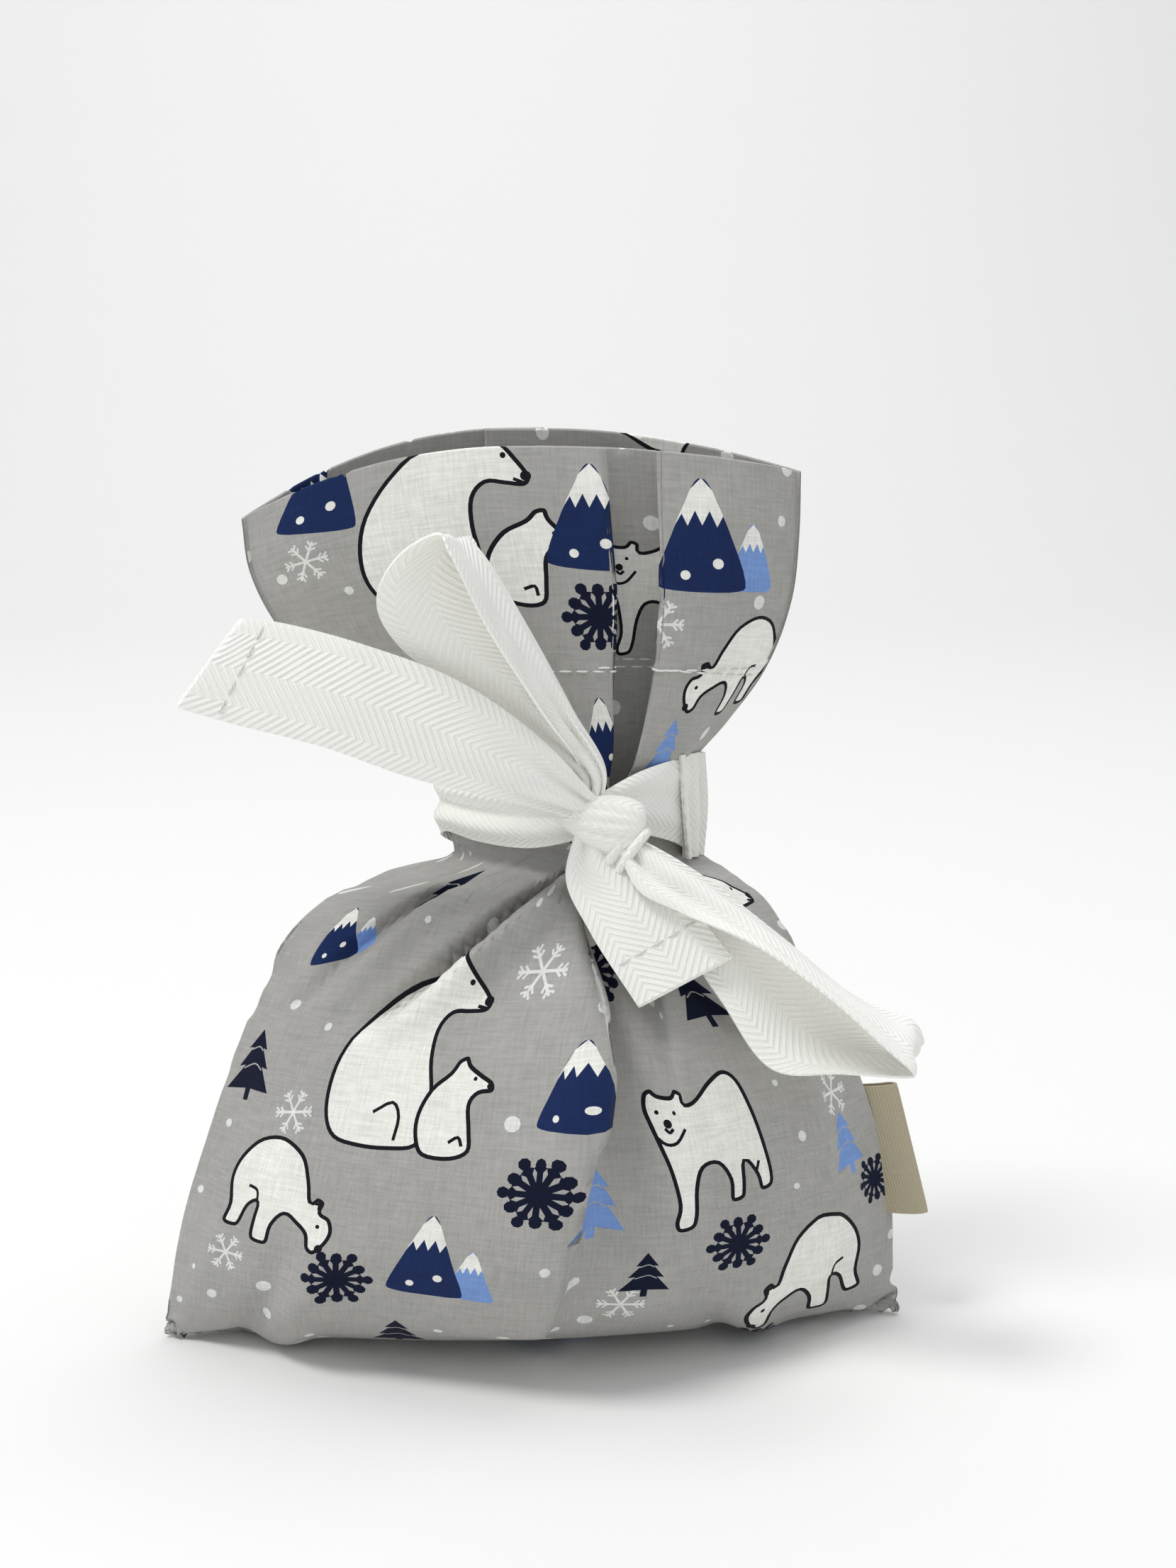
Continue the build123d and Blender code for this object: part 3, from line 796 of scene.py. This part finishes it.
def cloth_piece(name, panel, drawn):
    """A printed panel with thickness, its print cut into the mesh."""
    flat, triangles, inks = cut_cloth(drawn)
    points, normals = panel.wrapped(flat[:, 0], flat[:, 1])
    count = len(flat)
    triangles = np.array(triangles)
    edge_of = {}
    for a, b, c in triangles:
        for e in ((a, b), (b, c), (c, a)):
            edge_of[e] = edge_of.get(e, 0) + 1
    rim = [e for e in edge_of if (e[1], e[0]) not in edge_of]
    both = np.vstack([points, points - CLOTH_THICK * normals])
    if panel.outward > 0:
        outer, under = triangles, triangles[:, ::-1] + count
        walls = [(b, a, a + count, b + count) for a, b in rim]
    else:
        outer, under = triangles[:, ::-1], triangles + count
        walls = [(a, b, b + count, a + count) for a, b in rim]
    mesh = bpy.data.meshes.new(name)
    mesh.from_pydata((both * MM).tolist(), [], outer.tolist() + under.tolist() + walls)
    for ink in INK_ORDER:
        mesh.materials.append(INKS[ink])
    reverse = INK_ORDER.index("reverse")
    slots = [INK_ORDER.index(ink) for ink in inks] + [reverse] * (len(triangles) + len(walls))
    mesh.polygons.foreach_set("material_index", slots)
    thing = show(name, mesh)
    lay_flat(mesh, flat)
    mesh.normals_split_custom_set_from_vertices(np.vstack([normals, -normals]).tolist())
    return thing


front_panel = Panel(front_shape, 1)
back_panel = Panel(back_shape, -1)
front_cloth = cloth_piece("front_cloth", front_panel, print_for(FRONT_PRINT, 3))
back_places = [(m, -u if abs(u) < 45 else u, v, t, k) for m, u, v, t, k in FRONT_PRINT]
back_cloth = cloth_piece("back_cloth", back_panel, print_for(back_places, 8))
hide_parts("front_panel", "front_collar", "front_hem_facing",
            "left_side_seam", "right_side_seam", "bottom_seam")
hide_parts("back_panel", "back_collar", "back_hem_facing",
            "left_collar_seam", "right_collar_seam")
for cloth in (front_cloth, back_cloth):
    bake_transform(cloth)


# ---- tape, thread and label ---------------------------------------------------
def herringbone():
    """Off-white cotton tape: slanting ribs that turn back in three columns."""
    material, tree, base = shader("herringbone_tape", 0.8)
    place = node(tree, "UVMap", uv_map="flat").outputs[0]
    along, across, _ = node(tree, "SeparateXYZ", [(0, place)]).outputs
    zigzag = maths(tree, "PINGPONG", maths(tree, "ADD", across, CHEVRON / 2), CHEVRON)
    rib = waves(tree, maths(tree, "MULTIPLY_ADD", zigzag, 0.9, along), RIB_PITCH)
    yarns = [waves(tree, place, YARN_PITCH) for place in (across, along)]
    grain = maths(tree, "MULTIPLY", *yarns)
    fuzz = node(tree, "TexNoise", [("Vector", place), ("Scale", 1400.0), ("Detail", 2.0)]).outputs[0]
    height = maths(tree, "MULTIPLY_ADD", grain, 0.35, rib)
    height = maths(tree, "MULTIPLY_ADD", fuzz, 0.8, height)
    shade = maths(tree, "MULTIPLY_ADD", height, 0.025, 0.98)
    dress(tree, base, TAPE_COLOUR, shade, height, 0.6, 0.00012)
    base.inputs["Sheen Weight"].default_value = 0.2
    base.inputs["Specular IOR Level"].default_value = 0.3
    return material


def sewing_thread():
    material, tree, base = shader("sewing_thread", 0.6)
    place = node(tree, "TexCoord").outputs["Object"]
    wave = node(tree, "TexWave", [("Vector", place), ("Scale", 900.0), ("Distortion", 1.0)])
    strands = wave.outputs["Fac"]
    shade = maths(tree, "MULTIPLY_ADD", strands, 0.25, 0.75)
    dress(tree, base, THREAD_COLOUR, shade, strands, 0.5, 0.00005)
    base.inputs["Sheen Weight"].default_value = 0.2
    return material


def label_weave():
    """Plain beige ribbon with fine cross ribs."""
    material, tree, base = shader("label_weave", 0.85)
    place = node(tree, "UVMap", uv_map="flat").outputs[0]
    along, across, _ = node(tree, "SeparateXYZ", [(0, place)]).outputs
    rib = waves(tree, along, 0.00045)
    yarn = waves(tree, across, 0.0003)
    fuzz = node(tree, "TexNoise", [("Vector", place), ("Scale", 700.0), ("Detail", 3.0)]).outputs[0]
    height = maths(tree, "MULTIPLY_ADD", maths(tree, "ADD", yarn, fuzz), 0.6, rib)
    shade = maths(tree, "MULTIPLY_ADD", height, 0.06, 0.9)
    dress(tree, base, LABEL_COLOUR, shade, height, 0.5, 0.0001)
    return material


CHEVRON = 0.005             # a column of the herringbone, three across the tape
RIB_PITCH = 0.0012
YARN_PITCH = 0.00042
TAPE_COLOUR = (0.97, 0.96, 0.91)
THREAD_COLOUR = (0.84, 0.84, 0.80)
LABEL_COLOUR = (0.50, 0.44, 0.31)
HERRINGBONE, THREAD, LABEL_WEAVE = herringbone(), sewing_thread(), label_weave()


def net_normals(net):
    """Normals of a net of points, turned to the front where they can be."""
    normal = unit(np.cross(np.gradient(net, axis=0), np.gradient(net, axis=1)))
    return normal if normal[:, :, 1].sum() < 0 else -normal


def thick_net(name, net, thick, look, wide):
    """A net of points given thickness, thinner at its two long edges."""
    n, m = net.shape[:2]
    normal = unit(np.cross(np.gradient(net, axis=0), np.gradient(net, axis=1)))
    half = thick / 2 * (1 - 0.4 * np.abs(np.linspace(-1, 1, m)) ** 12)[None, :, None]
    points = np.concatenate([net + half * normal, net - half * normal]).reshape(-1, 3)
    top = np.arange(n * m).reshape(n, m)
    low = top + n * m
    faces = quads(top, False) + quads(low, True)
    rim = [*top[0, :], *top[1:, -1], *top[-1, -2::-1], *top[-2:0:-1, 0]]
    for a, b in zip(rim, rim[1:] + rim[:1]):
        faces.append([int(a), int(a + n * m), int(b + n * m), int(b)])
    mesh = bpy.data.meshes.new(name)
    mesh.from_pydata((points * MM).tolist(), [], [face[::-1] for face in faces])
    mesh.materials.append(look)
    thing = show(name, mesh)
    mesh.set_sharp_from_angle(angle=1.0)
    run = run_of(net[:, m // 2])
    flat = np.stack(np.meshgrid(run, np.linspace(0, wide, m), indexing="ij"), axis=-1)
    lay_flat(mesh, flat.reshape(-1, 2))
    return thing, run[-1]


def tape_net(pairs, cups, folds, wide=TAPE_WIDTH):
    """A net between two edges, arched by cups and creased lengthwise by folds.

    Where the tape is bunched narrower than it is, the spare width makes ripples.
    """
    pairs = np.array(pairs, float).reshape(len(pairs), 6)
    middle = (pairs[:, :3] + pairs[:, 3:]) / 2
    shape = np.stack([np.broadcast_to(cups, len(pairs)), np.broadcast_to(folds, len(pairs))], axis=1)
    length = np.linalg.norm(np.diff(middle, axis=0), axis=1).sum()
    dense = through(np.hstack([middle, pairs, shape]), int(length / 0.6) + 4)
    one, two = dense[:, None, 3:6], dense[:, None, 6:9]
    cup, fold = dense[:, None, 9:10], dense[:, None, 10:11]
    t = np.linspace(0, 1, 25)[None, :, None]
    net = one + t * (two - one)
    normal = net_normals(net)
    spare = np.clip(1 - np.linalg.norm(two - one, axis=2, keepdims=True) / wide, 0, 1)
    ripple = 0.8 * spare * np.sin(4 * math.pi * t + 0.6)
    return net + normal * (cup * 4 * t * (1 - t) + fold * (1 - np.cos(4 * math.pi * t)) / 2 + ripple)


def tape(name, pairs, cups=0.0, folds=0.0, thick=TAPE_THICK, hem=0.0):
    """A stretch of tape.

    hem is how much of its end is folded back behind it.
    """
    net = tape_net(pairs, cups, folds)
    shown = net
    if hem:
        normal = net_normals(net)
        step = np.linalg.norm(net[-1, 12] - net[-2, 12])
        back = net[-2:-int(hem / step) - 2:-1] - normal[-2:-int(hem / step) - 2:-1] * (thick + 0.15)
        turn = net[-1:] - normal[-1:] * (thick + 0.15) / 2 + unit(net[-1:] - net[-2:-1]) * 0.3
        shown = np.concatenate([net, turn, back])
    thing, length = thick_net(name, shown, thick, HERRINGBONE, TAPE_WIDTH)
    return thing, net


# Pairs of points on the tape's two edges, from the knot outwards
UPPER_LOOP = [
    ((6.2, -15.4, 83.8), (8.8, -15.6, 84.2)), ((6.4, -15.6, 88.4), (9.4, -16, 89.2)),
    ((-2.4, -17, 95.2), (3.8, -18, 98.6)),
    ((-10.6, -18, 101.5), (0.3, -19, 105.9)), ((-18.9, -19.5, 107.4), (-4.3, -20, 112)),
    ((-22.3, -21.5, 113.4), (-7.3, -20.5, 116.4)), ((-21, -25, 118.4), (-8.2, -20, 120)),
    ((-17.6, -28.5, 122.2), (-8.8, -19.5, 122)), ((-14.1, -30.5, 123.9), (-9.4, -19, 122.6)),
    ((-12.5, -31.5, 121.5), (-7, -19.5, 119.5)), ((-7.5, -29, 111.3), (-0.4, -18.5, 108.3)),
    ((0, -22.5, 99.4), (5.1, -16.5, 98.2)), ((6.6, -16, 89), (9.8, -14.5, 89.2)),
    ((6.4, -15.2, 83.8), (9, -15, 84.2)),
]
RIGHT_LOOP = [
    ((13, -17, 80.7), (11.3, -18, 78.5)), ((19.2, -19, 77.5), (13.8, -22, 73.4)),
    ((24.9, -20, 73.8), (19.3, -24, 70.8)), ((35.2, -21, 65.5), (29.7, -29.5, 66.9)),
    ((43.8, -22, 58.2), (38.9, -33, 60.5)), ((49.5, -23, 55.3), (47, -34.5, 53.2)),
    ((53.4, -23.5, 53.8), (50.9, -34.5, 49.4)), ((54.9, -23, 50.6), (49.9, -32, 48.2)),
    ((50.7, -20.5, 50), (41.7, -30, 48.4)), ((43.9, -20, 55.9), (32.4, -27, 48.3)),
    ((34.9, -19, 63.6), (25.3, -23.5, 57.6)), ((24.6, -18, 71.3), (18.8, -20.5, 67.4)),
    ((12.3, -16, 79.1), (11.1, -16.5, 77.9)),
]
LEFT_TAIL = [
    ((8.4, -16.6, 85.4), (6.8, -16.8, 82.6)), ((-0.1, -20.5, 95), (-5.2, -22, 86.5)),
    ((-11.3, -21.5, 103.2), (-18, -24, 90.2)), ((-24.9, -22, 108.6), (-30, -24.5, 94.7)),
    ((-36.2, -22, 111.6), (-42.7, -24.5, 98.2)), ((-40.4, -22, 112), (-49.2, -24.5, 100.2)),
]
SHORT_TAIL = [
    ((5.6, -16.6, 82.2), (8.6, -16, 81)), ((3.8, -17.8, 74.5), (12.6, -17.2, 76.9)),
    ((6.8, -20.5, 67.6), (18.4, -20, 73.9)), ((13.4, -24, 57.3), (26.7, -23.5, 64.1)),
]
# Round the neck: angle from the right side by way of the front, low and high edge,
# how far out from the cloth, and how deeply the tape is folded lengthwise
BAND = [
    (84, 80, 85, 6, 0.6), (108, 77.6, 86.2, 3.2, 1), (135, 77.8, 87, 1.7, 1.6),
    (162, 78.6, 87.2, 1.4, 1.6), (184, 77.6, 87.4, 1.1, 0.9), (230, 73.6, 87.8, 0.9, 0),
    (270, 73.2, 88, 0.9, 0), (315, 73.6, 88.6, 0.9, 0), (358, 74.4, 89.6, 0.9, 0),
    (382, 74.8, 89.9, 1, 0.1), (402, 77, 89.6, 1.8, 0.4), (428, 79.6, 88.4, 4, 0.6),
    (444, 80.6, 86, 6.4, 0.6),
]


def on_band(angle, z, out):
    """A point round the neck, that far out from its cloth."""
    a = math.cos(math.radians(angle))
    side = -math.copysign(1, math.sin(math.radians(angle)))
    return NECK[0] + (NECK[1] + out) * a, side * (NECK[2] + out) * (1 - a * a) ** 0.75, z


# The tape doubled over and caught in the side seam: pairs of points from top to bottom
ANCHOR = [((21.3, -5.9, 90.2), (25.7, -0.6, 89.8)), ((21.8, -6.1, 82.4), (26.2, -0.4, 82)),
          ((22.5, -5.7, 74.6), (25.6, -0.5, 74.2))]
# The second wrap: middle, direction of its axis, half height, half depth, half width
WRAP = ((12.3, -16.4, 78.5), (0.80, -0.25, -0.55), 3.6, 2.5, 1.9)
KNOT = [                    # along the knot: middle, half height and half depth
    (1.9, -15.6, 84, 0.5, 0.6), (3.2, -15.8, 83.7, 1.6, 1.7), (6, -16.1, 83, 3, 2.7),
    (9.2, -16.2, 82.2, 4, 3.4), (12.4, -16, 81.3, 4.3, 3.4), (14.4, -15.6, 80.7, 3.4, 2.6),
    (15.2, -15.3, 80.4, 1.4, 1.2),
]
KNOT_LENGTH = 14.0


def knot(name):
    """The knot: tape drawn tight round itself, with creases along its length."""
    rows = through(KNOT, 44)
    around = np.linspace(0, 2 * math.pi, 64, endpoint=False)
    lean = math.atan2(KNOT[0][2] - KNOT[-1][2], KNOT[-1][0] - KNOT[0][0])
    points = []
    for k, (x, y, z, tall, deep) in enumerate(rows):
        s = k / (len(rows) - 1)
        crease = sum(0.13 * np.exp(-((around - start - drift * s) / 0.13) ** 2)
                     for start, drift in ((3.9, 0.9), (4.6, 0.5), (5.5, -0.3)))
        r = 1 - crease * math.sin(math.pi * s)
        up, out = tall * r * np.cos(around), deep * r * np.sin(around)
        points.append(np.stack([x + up * math.sin(lean), y + out, z + up * math.cos(lean)], axis=1))
    net = np.array(points)
    n, m = net.shape[:2]
    index = np.arange(n * m).reshape(n, m)
    ring = np.concatenate([index, index[:, :1]], axis=1)
    faces = quads(ring, False) + [index[0].tolist(), index[-1][::-1].tolist()]
    mesh = bpy.data.meshes.new(name)
    mesh.from_pydata((net.reshape(-1, 3) * MM).tolist(), [], faces)
    mesh.materials.append(HERRINGBONE)
    thing = show(name, mesh)
    run = np.linspace(0, KNOT_LENGTH, n)
    turn = np.abs(np.linspace(-TAPE_WIDTH, TAPE_WIDTH, m))
    lay_flat(mesh, np.stack(np.meshgrid(run, turn, indexing="ij"), axis=-1).reshape(-1, 2))
    return thing


def ring_pairs(middle, axis, tall, deep, half):
    """Edge pairs of a narrow wrap round an axis, its ends meeting at the back."""
    axis = unit(np.array(axis))
    up = unit(np.cross(axis, (0, -1, 0)))
    out = np.cross(up, axis)
    pairs = []
    for turn in np.radians(np.arange(-180, 181, 24)):
        spot = np.array(middle) + tall * math.sin(turn) * up + deep * math.cos(turn) * out
        pairs.append((tuple(spot - half * axis), tuple(spot + half * axis)))
    return pairs


def stitches(name, path, count, gap=0.22, thick=0.17):
    """A row of sewn stitches along a path, each dipping into the cloth at its ends."""
    points, faces = [], []
    run = run_of(path)
    for k in range(count):
        first = (k + gap / 2) / count * run[-1]
        last = (k + 1 - gap / 2) / count * run[-1]
        places = np.linspace(first, last, 7)
        line = np.stack([np.interp(places, run, path[:, c]) for c in range(3)], axis=1)
        along = unit(np.gradient(line, axis=0))
        side = unit(np.cross(along, (0.1, -1.0, 0.2)))
        out = np.cross(side, along)
        sizes = thick * np.array([0.25, 0.8, 1, 1, 1, 0.8, 0.25])
        start = len(points)
        for p, a, b, r in zip(line, side, out, sizes):
            sink = (thick - r) * b
            for turn in np.arange(6) * math.pi / 3:
                points.append(p - sink * 0.8 + r * (math.cos(turn) * a + math.sin(turn) * b))
        for i in range(start, start + 36, 6):
            for j in range(6):
                q = (j + 1) % 6
                faces.append((i + j, i + q, i + 6 + q, i + 6 + j))
        faces.append(tuple(start + j for j in range(5, -1, -1)))
        faces.append(tuple(start + 36 + j for j in range(6)))
    mesh = bpy.data.meshes.new(name)
    mesh.from_pydata((np.array(points) * MM).tolist(), [], faces)
    mesh.materials.append(THREAD)
    thing = show(name, mesh)
    return thing


def row_on_tape(name, net, from_end, count):
    """Stitches straight across a tape, that far from its end."""
    normal = net_normals(net)
    step = np.linalg.norm(net[-1, 12] - net[-2, 12])
    k = len(net) - 1 - int(from_end / step)
    path = net[k, 1:-1] + normal[k, 1:-1] * (TAPE_THICK / 2 + 0.08)
    return stitches(name, path, count)


def row_on_cloth(name, panel, places, count):
    """Stitches on a panel along places given as (u, v)."""
    line = through([(u, v, 0) for u, v in places], 160)
    p, n, _ = panel.frame(line[:, 0], line[:, 1])
    return stitches(name, p + n * 0.1, count)


def bow():
    """The tape: round the neck, through the knot, and out in two loops and two tails."""
    band = [(on_band(a, high, out), on_band(a, low, out)) for a, low, high, out, _ in BAND]
    neck, _ = tape("neck_band", band, folds=[row[4] for row in BAND])
    anchor, _ = tape("anchor_fold", ANCHOR, cups=-0.5, thick=0.9)
    wrap, _ = tape("second_wrap", ring_pairs(*WRAP), cups=0.25)
    lump = knot("knot")
    pieces = [(neck, "neck_tape"), (anchor, "seam_anchor"), (wrap, "knot_wrap"), (lump, "bow_knot")]
    row = through([(21.6, -6.35, 89.4), (22.1, -6.6, 82.4), (22.8, -6.25, 75.4)], 40)
    pieces.append((stitches("anchor_stitch_row", row, 6), "anchor_stitches"))
    for piece, cad in pieces:
        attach(piece, "pouch")
        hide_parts(cad)
    ends = {                # edges, hem, share of the width outside the knot, and the bend
        "upper_loop": (UPPER_LOOP, 0.0, 0.9, (6.5, -15.5, 90), (-0.5, -18, 98)),
        "right_loop": (RIGHT_LOOP, 0.0, 1.0, (15, -18, 77.5), (22, -21, 71)),
        "left_tail": (LEFT_TAIL, 5.5, 1.0, (3, -19, 88), (-7, -21.5, 92)),
        "short_tail": (SHORT_TAIL, 7.5, 1.0, (6.5, -17, 78), (9.5, -18.5, 72)),
    }
    for body, (pairs, hem, share, start, end) in ends.items():
        piece, net = tape(body + "_tape", pairs, cups=0.4, hem=hem)
        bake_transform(piece)
        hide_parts(body, *([body + "_hem"] if hem else []))
        if hem:
            row = row_on_tape(body + "_stitch_row", net, hem - 1.0, 5)
            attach(row, body)
            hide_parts(body + "_stitches")


bow()
rows = {                    # hem stitches: panel, path over the flat cloth, number of stitches
    "front_hem_row": (front_panel, [(-60, 139), (0, 138.6), (60, 139)], 42),
    "front_hem_second_row": (front_panel, [(-14, 139.2), (20, 139.8), (60, 137.6)], 25),
    "back_hem_row": (back_panel, [(-60, 139), (0, 138.8), (60, 139)], 42),
}
front_row, extra_row, back_row = (row_on_cloth(name, *row) for name, row in rows.items())
for row in (front_row, extra_row, back_row):
    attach(row, "collar")
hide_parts("front_hem_stitches")
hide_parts("back_hem_stitches")

LABEL_WIDE = 20.6           # the label's ribbon, folded in half and sewn into the seam
LABEL = [((54.2, -1.3, 17.2), (48.4, -1.3, 37.6)), ((58.6, -1.9, 17), (53, -2.1, 37.8)),
         ((60.6, -1.8, 17), (55.2, -2, 38)), ((61.4, -1.2, 17), (55.9, -1.4, 38)),
         ((60.6, -0.6, 17), (55.2, -0.8, 38)), ((58.6, -0.5, 17), (53, -0.6, 37.8)),
         ((54.2, -0.3, 17.2), (48.4, -0.3, 37.6))]
label_net = tape_net(LABEL, 0.0, 0.0, LABEL_WIDE)
label_piece, label_run = thick_net("label_ribbon", label_net, 0.4, LABEL_WEAVE, LABEL_WIDE)
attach(label_piece, "label")
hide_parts("label")


# ---- camera, light and floor -------------------------------------------------
CAMERA_PLACE = (-17.9, -320.0, 137.2)
CAMERA_DOWN, CAMERA_RIGHT = 9.22, 4.7       # how far it looks down and to the right, in degrees
LENS, SENSOR = 33.3, 24.0


def camera():
    """The viewpoint of the photograph: a little left of the pouch and above it."""
    data = bpy.data.cameras.new("camera")
    data.sensor_fit = "VERTICAL"
    data.sensor_height = SENSOR
    data.lens = LENS
    data.clip_start = 0.01
    view = bpy.data.objects.new("camera", data)
    view.location = Vector(CAMERA_PLACE) * MM
    view.rotation_euler = (math.radians(90 - CAMERA_DOWN), 0, math.radians(-CAMERA_RIGHT))
    bpy.context.scene.collection.objects.link(view)
    bpy.context.scene.camera = view


def area_light(name, place, target, size, power):
    """A round soft light, in metres and watts, that shines from place to target."""
    data = bpy.data.lights.new(name, "AREA")
    data.shape = "DISK"
    data.size = size
    data.energy = power
    lamp = bpy.data.objects.new(name, data)
    lamp.location = place
    lamp.rotation_euler = (Vector(target) - Vector(place)).to_track_quat("-Z", "Y").to_euler()
    bpy.context.scene.collection.objects.link(lamp)


def stage():
    """A pale sweep: a floor that curves up into a wall behind."""
    bend, back, far, tall = 0.9, 1.2, 4.0, 3.0
    profile = [(-far, 0.0), (back, 0.0)]
    for k in range(1, 13):
        turn = math.pi / 2 * k / 12
        profile.append((back + bend * math.sin(turn), bend * (1 - math.cos(turn))))
    profile.append((back + bend, tall))
    points = [(x, y, z) for y, z in profile for x in (-far, far)]
    faces = [(2 * k, 2 * k + 1, 2 * k + 3, 2 * k + 2) for k in range(len(profile) - 1)]
    data = bpy.data.meshes.new("floor")
    data.from_pydata(points, [], faces)
    floor = show("floor", data)
    pale, _, base = shader("floor", 0.9)
    base.inputs["Base Color"].default_value = (0.88, 0.88, 0.86, 1)
    floor.data.materials.append(pale)
    world = bpy.data.worlds.new("world")
    world.use_nodes = True
    sky = world.node_tree.nodes["Background"]
    sky.inputs["Color"].default_value = (0.95, 0.97, 1.0, 1)
    sky.inputs["Strength"].default_value = 0.62
    bpy.context.scene.world = world
    bpy.context.scene.view_settings.view_transform = "Standard"
    area_light("key", (-0.45, -0.25, 1.0), (0, 0, 0.08), 0.35, 5.0)
    area_light("overhead", (0.35, 0.1, 1.1), (0, 0, 0.08), 0.6, 2.5)
    area_light("backdrop", (0, 0.9, 1.6), (0, 2.1, 0.8), 1.2, 9)


camera()
stage()
